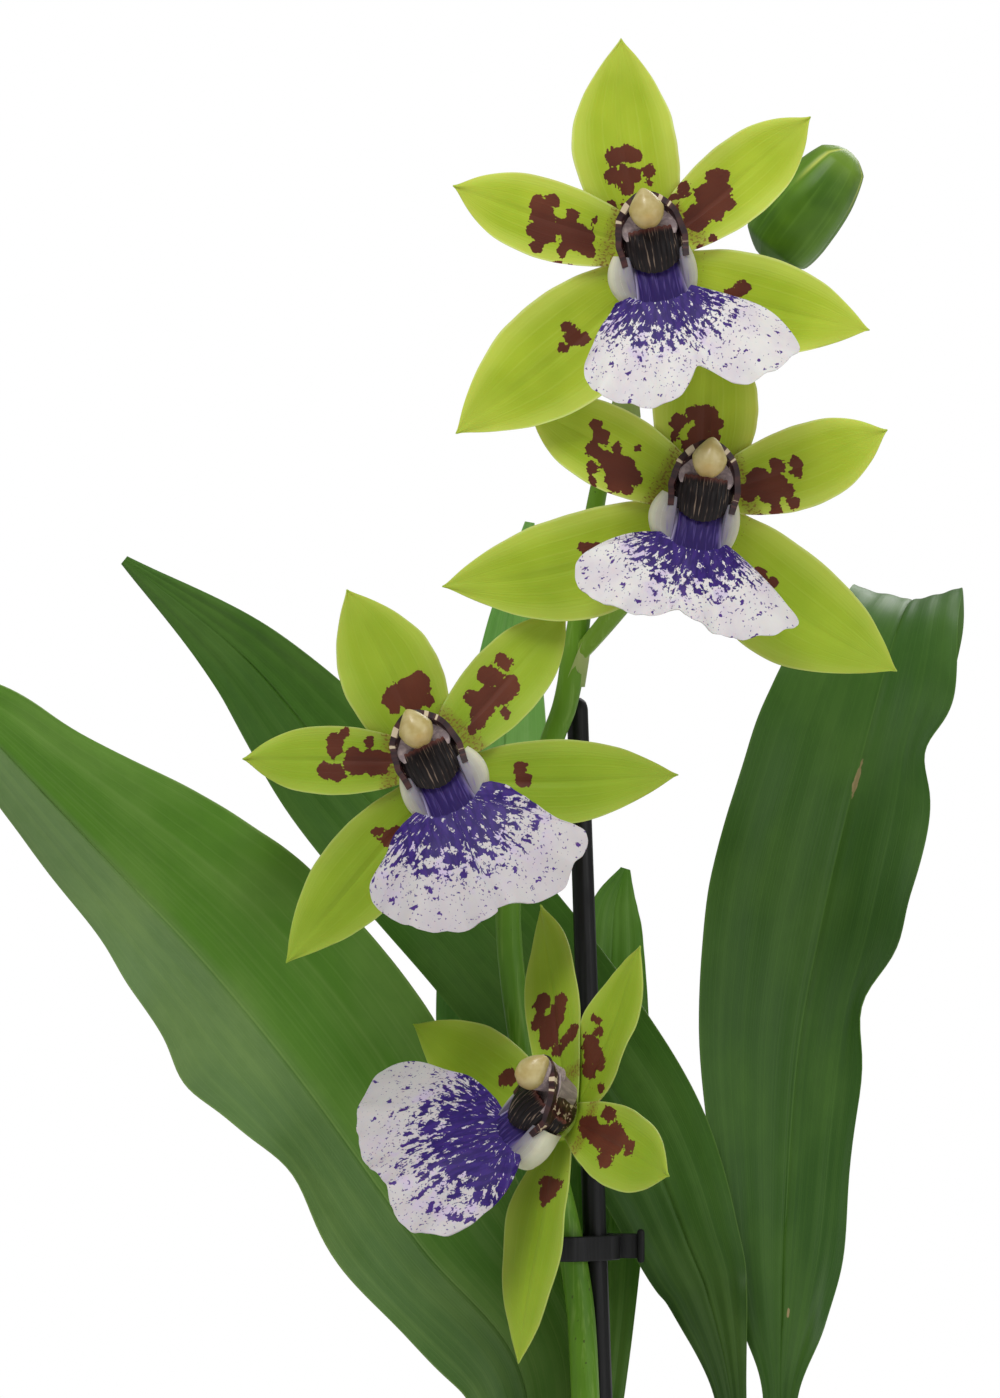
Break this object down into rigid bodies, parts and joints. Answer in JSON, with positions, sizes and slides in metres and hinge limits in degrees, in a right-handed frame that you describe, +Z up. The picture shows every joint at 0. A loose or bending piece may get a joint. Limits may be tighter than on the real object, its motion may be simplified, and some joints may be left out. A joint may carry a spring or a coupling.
{
  "type": "potted zygopetalum orchid",
  "caption": "Zygopetalum orchid in a plain nursery pot: pleated leaves, green and brown blooms with violet lips, a bud and a staked stem.",
  "frame": {"origin": "middle of the pot's flat underside", "axes": "+Z up, -Y towards the front, where the blooms face, +X to the plant's right side in the front view"},
  "size_m": [0.1903, 0.1766, 0.447],
  "materials": {
    "pot_plastic": "matte",
    "bark_mix": "rough",
    "bulb_green": "satin",
    "leaf_green": "satin",
    "stem_green": "satin",
    "bud_green": "satin",
    "stake_black": "matte",
    "clip_black": "matte",
    "tepal_green": "satin",
    "lip_white": "satin",
    "callus_brown": "satin",
    "column_brown": "satin",
    "cap_cream": "satin"
  },
  "bodies": {
    "root": {"pot": "pot_plastic", "bark": "bark_mix", "bulb_left": "bulb_green", "bulb_right": "bulb_green", "bulb_old": "bulb_green", "leaf_front": "leaf_green", "leaf_long": "leaf_green", "leaf_rear": "leaf_green", "leaf_short": "leaf_green", "leaf_arched": "leaf_green", "spike": "stem_green", "bud": "bud_green", "stake": "stake_black", "clip": "clip_black", "bloom_1_tepals": "tepal_green", "bloom_1_lip": "lip_white", "bloom_1_callus": "callus_brown", "bloom_1_column": "column_brown", "bloom_1_cap": "cap_cream", "bloom_2_tepals": "tepal_green", "bloom_2_lip": "lip_white", "bloom_2_callus": "callus_brown", "bloom_2_column": "column_brown", "bloom_2_cap": "cap_cream", "bloom_3_tepals": "tepal_green", "bloom_3_lip": "lip_white", "bloom_3_callus": "callus_brown", "bloom_3_column": "column_brown", "bloom_3_cap": "cap_cream", "bloom_4_tepals": "tepal_green", "bloom_4_lip": "lip_white", "bloom_4_callus": "callus_brown", "bloom_4_column": "column_brown", "bloom_4_cap": "cap_cream"}
  },
  "joints": []
}
